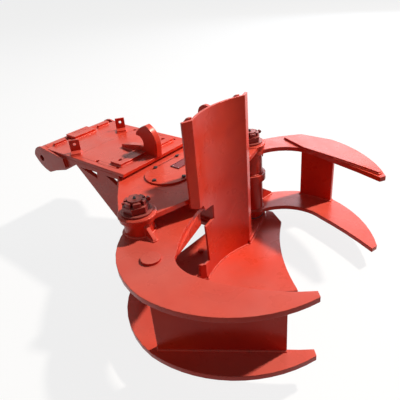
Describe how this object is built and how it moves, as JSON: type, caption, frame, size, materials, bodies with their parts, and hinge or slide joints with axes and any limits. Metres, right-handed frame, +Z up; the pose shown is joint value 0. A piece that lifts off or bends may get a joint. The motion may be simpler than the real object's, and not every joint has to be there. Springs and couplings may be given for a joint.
{
  "type": "tree shear",
  "caption": "Hydraulic tree shear with two hooked arms that close over a fixed spear knife, an upright cradle and a rear coupler frame.",
  "frame": {"origin": "on the knife's flat underside, midway between the two arm pins", "axes": "+X forward to the mouth, +Y across to the far arm, +Z up along the pins"},
  "size_m": [1.2998, 1.0081, 0.591],
  "materials": {
    "enamel": "gloss",
    "steel": "satin",
    "black": "satin",
    "chrome": "polished"
  },
  "bodies": {
    "frame": {"rear_plate": "enamel", "side_plate_near": "enamel", "side_plate_far": "enamel", "nose_plates": "enamel", "coupler_tube": "enamel", "latch_pad": "enamel", "latch_pad_screws": "enamel", "edge_bars": "enamel", "hook": "enamel", "strap": "enamel", "hose_brackets": "enamel", "packing_bar": "enamel", "top_plate": "enamel", "service_cover": "enamel", "cover_bolts": "black", "name_plate": "steel", "bottom_plate": "enamel", "knife": "enamel", "knife_bolts": "enamel", "cradle": "enamel", "cradle_spine": "enamel", "cradle_side_ribs": "enamel", "near_pin": "steel", "far_pin": "steel", "pin_rings": "enamel", "nut_washers": "enamel", "pin_nuts": "enamel", "split_pins": "steel", "thrust_washers": "steel"},
    "near_arm": {"near_upper_plate": "enamel", "near_lower_plate": "enamel", "near_web": "enamel", "near_hub": "enamel", "near_bushes": "steel", "near_boss": "enamel", "near_hub_rib": "enamel", "near_heel_web": "enamel", "near_crank": "enamel", "near_crank_pin": "steel"},
    "far_arm": {"far_upper_plate": "enamel", "far_lower_plate": "enamel", "far_web": "enamel", "far_hub": "enamel", "far_bushes": "steel", "far_hub_ribs": "enamel", "far_top_bar": "enamel", "far_crank": "enamel", "far_crank_pin": "steel"},
    "cylinder_barrel": {"barrel": "black", "barrel_fork": "steel", "gland": "steel", "hose_ports": "steel"},
    "cylinder_rod": {"rod": "chrome", "rod_fork": "steel", "piston": "steel"}
  },
  "joints": [
    {"name": "near_arm_swing", "type": "hinge", "parent": "frame", "child": "near_arm", "pos_m": [0, -0.294, 0.1805], "axis": [0, 0, 1], "range_deg": [0, 34]},
    {"name": "far_arm_swing", "type": "hinge", "parent": "frame", "child": "far_arm", "pos_m": [0, 0.294, 0.1805], "axis": [0, 0, -1], "range_deg": [0, 34]},
    {"name": "barrel_swing", "type": "hinge", "parent": "near_arm", "child": "cylinder_barrel", "pos_m": [-0.08511, -0.22751, 0.2115], "axis": [0, 0, 1], "range_deg": [-34, 0]},
    {"name": "rod_swing", "type": "hinge", "parent": "far_arm", "child": "cylinder_rod", "pos_m": [-0.08511, 0.22751, 0.2115], "axis": [0, 0, -1], "range_deg": [-34, 0]}
  ],
  "couplings": [
    {"joint": "far_arm_swing", "follows": "near_arm_swing", "ratio": 1},
    {"joint": "barrel_swing", "follows": "near_arm_swing", "ratio": -1},
    {"joint": "rod_swing", "follows": "near_arm_swing", "ratio": -1}
  ]
}
